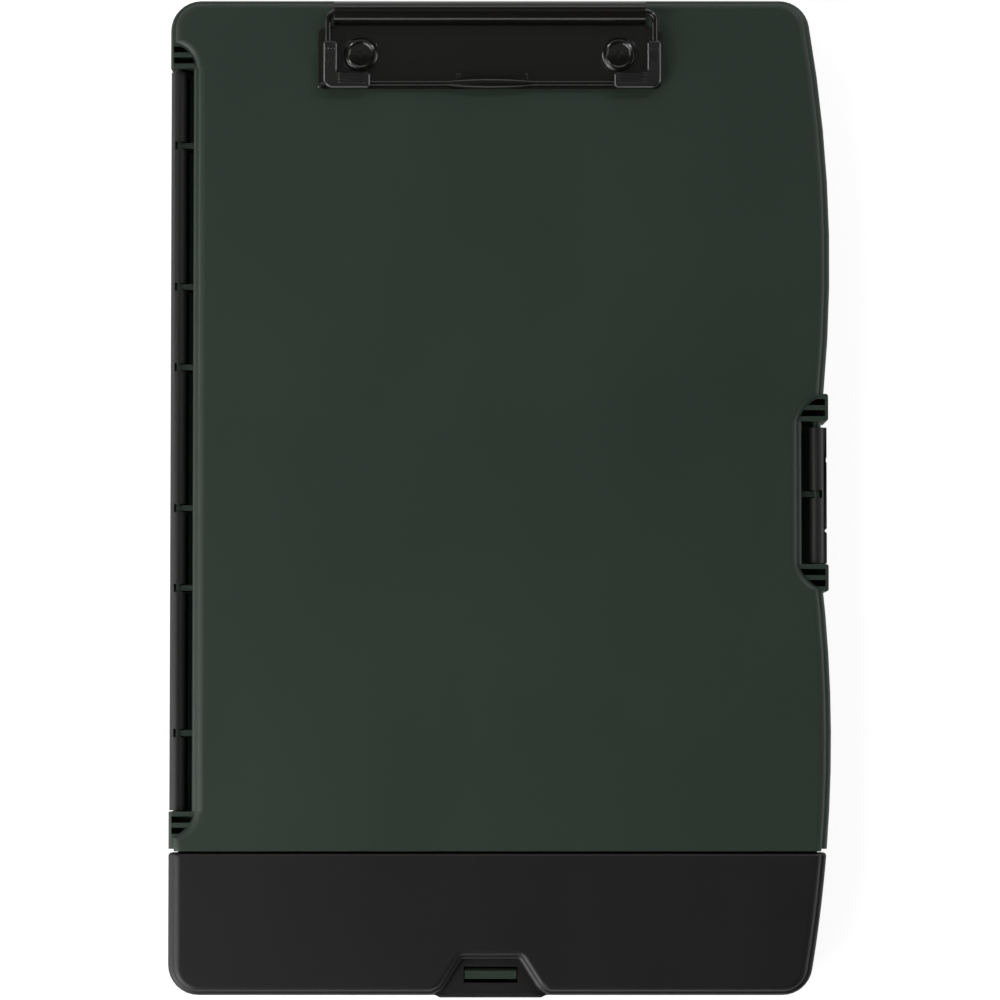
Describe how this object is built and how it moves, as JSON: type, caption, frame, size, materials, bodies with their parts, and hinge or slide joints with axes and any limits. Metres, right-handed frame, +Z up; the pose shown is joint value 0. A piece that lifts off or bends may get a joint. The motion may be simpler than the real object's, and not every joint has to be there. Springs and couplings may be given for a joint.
{
  "type": "storage clipboard box",
  "caption": "Flat storage case with a clipboard top: side-opening cover on a double hinge, side latch, separate lower lid over an accessory compartment, and a sprung wire clip.",
  "frame": {"origin": "middle of the underside of the base, on the surface that the case lies on", "axes": "+X across the board towards the side latch, +Y along the board towards the clip, +Z up out of the writing surface"},
  "size_m": [0.261, 0.3942, 0.0386],
  "materials": {
    "green_plastic": "fine moulded grain",
    "black_plastic": "fine moulded grain",
    "lid_plastic": "fine moulded grain",
    "black_paint": "gloss black",
    "wire_paint": "gloss black",
    "rubber": "ribbed, semi-gloss",
    "steel": "zinc plated"
  },
  "bodies": {
    "base": {"base_tray": "green_plastic"},
    "spine": {"hinge_spine": "black_plastic"},
    "cover": {"cover": "green_plastic", "clip_plate": "black_paint", "rivet_left": "black_paint", "rivet_right": "black_paint", "rivet_washer_left": "steel", "rivet_washer_right": "steel", "clip_spring_left": "steel", "clip_spring_right": "steel"},
    "latch": {"side_latch": "black_plastic"},
    "lid": {"bottom_lid": "lid_plastic"},
    "jaw": {"clip_wire": "wire_paint", "clip_finger_tab": "black_paint", "clip_grip_left": "rubber", "clip_grip_right": "rubber"}
  },
  "joints": [
    {"name": "spine_hinge", "type": "hinge", "parent": "base", "child": "spine", "pos_m": [-0.1273, 0.0232, 0.0075], "axis": [0, -1, 0], "range_deg": [0, 90]},
    {"name": "cover_hinge", "type": "hinge", "parent": "spine", "child": "cover", "pos_m": [-0.1273, 0.0232, 0.0225], "axis": [0, -1, 0], "range_deg": [0, 90]},
    {"name": "latch_hinge", "type": "hinge", "parent": "cover", "child": "latch", "pos_m": [0.1254, 0.0007, 0.0225], "axis": [0, -1, 0], "range_deg": [0, 100]},
    {"name": "lid_hinge", "type": "hinge", "parent": "base", "child": "lid", "pos_m": [0, -0.1495, 0.0257], "axis": [-1, 0, 0], "range_deg": [0, 100]},
    {"name": "jaw_hinge", "type": "hinge", "parent": "cover", "child": "jaw", "pos_m": [-0.00335, 0.1915, 0.0343], "axis": [-1, 0, 0], "range_deg": [0, 95], "stiffness_Nm_per_rad": 0.15, "springref_deg": -68.75}
  ]
}
